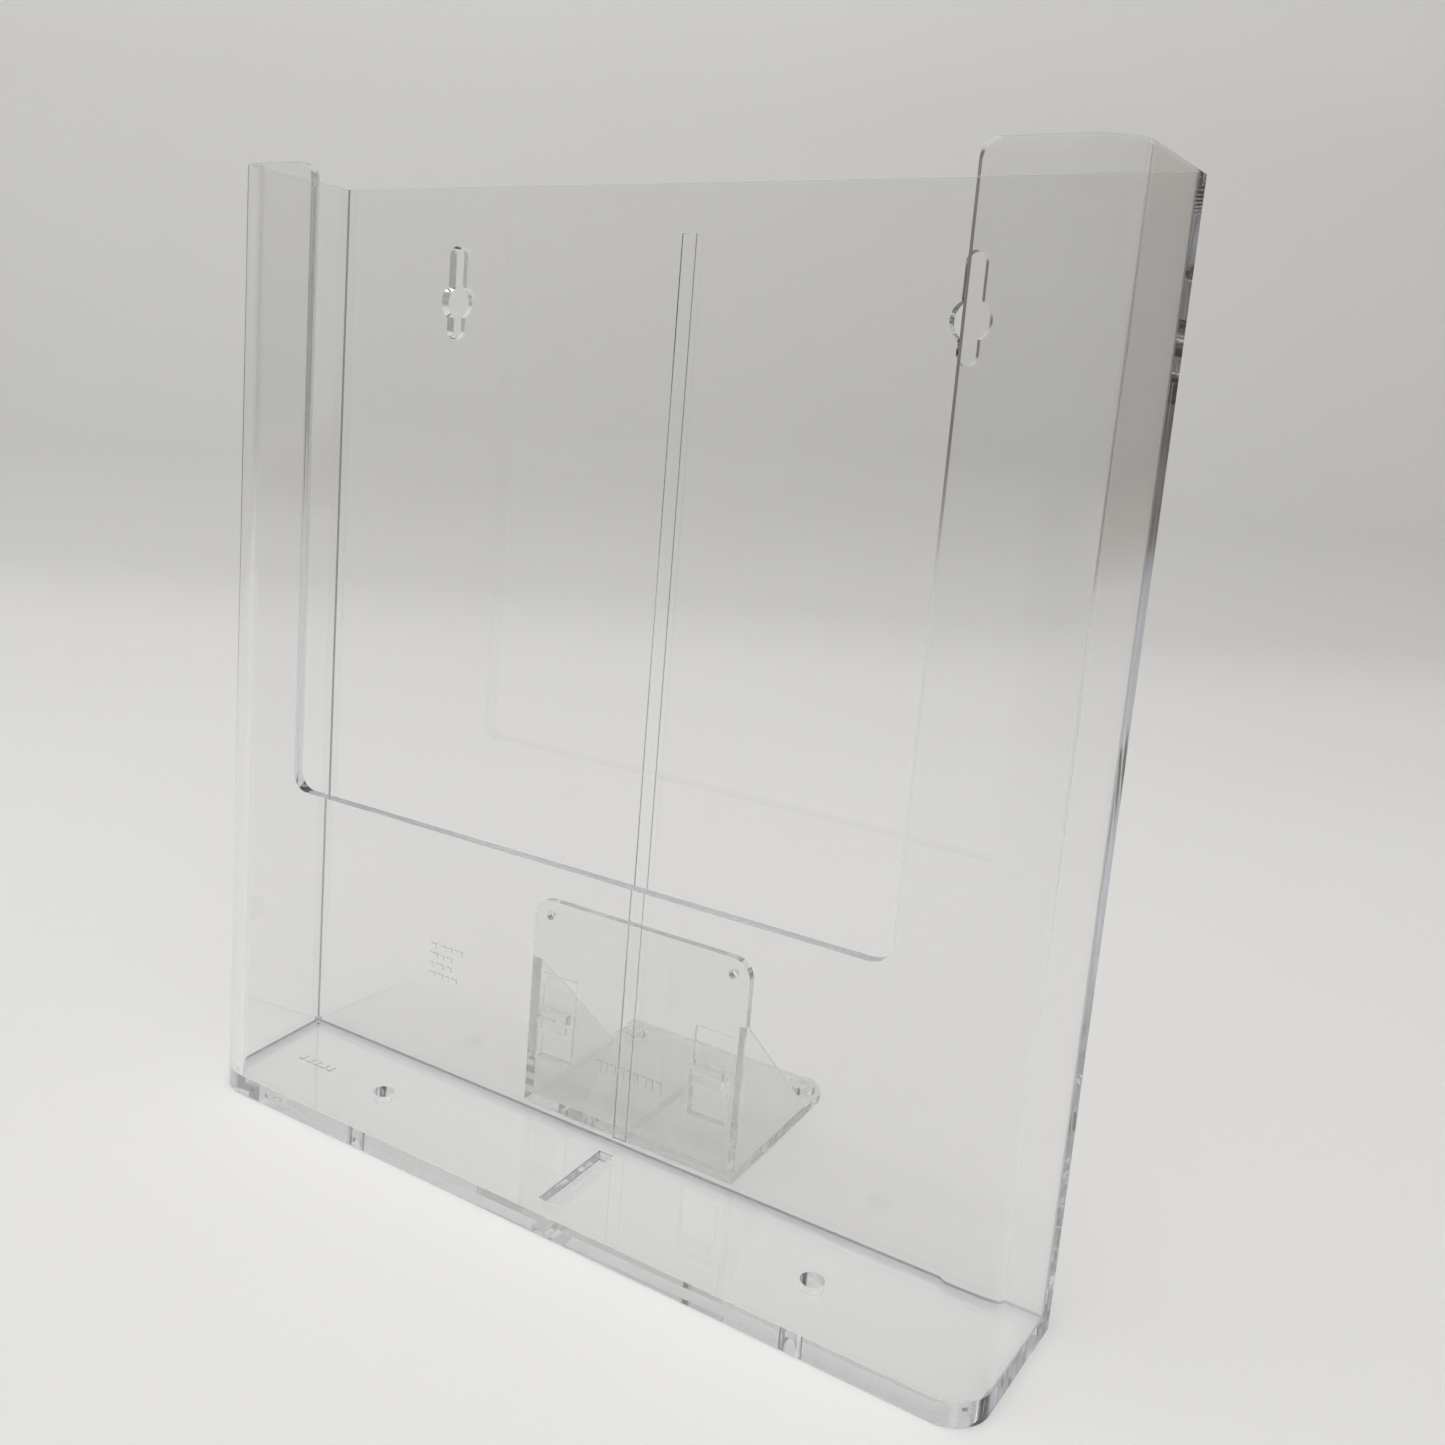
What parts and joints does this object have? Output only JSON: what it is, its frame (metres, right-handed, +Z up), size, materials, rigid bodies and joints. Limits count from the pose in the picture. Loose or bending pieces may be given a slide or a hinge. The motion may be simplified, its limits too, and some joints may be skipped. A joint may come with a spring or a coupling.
{
  "type": "leaflet and magazine rack",
  "caption": "Clear moulded magazine pocket with full-height side strips, low front lip, keyholes in the back and a separate angled foot bracket behind it.",
  "frame": {"origin": "on the table under the middle of the bounding box of the holder and its foot", "axes": "+X to the right seen from the front, +Y to the rear (towards the wall), +Z up"},
  "size_m": [0.236, 0.1156, 0.26],
  "materials": {
    "holder_clear": "crystal-clear injection-moulded styrene, polished faces, faint blue-grey tint at the edges",
    "foot_clear": "the same clear styrene, polished faces"
  },
  "bodies": {
    "holder": {"holder_body": "holder_clear"},
    "foot": {"foot_bracket": "foot_clear"}
  },
  "joints": [
    {"name": "foot_slide", "type": "slide", "parent": "holder", "child": "foot", "axis": [0, 1, 0], "range_m": [-0.004, 0.08]}
  ]
}
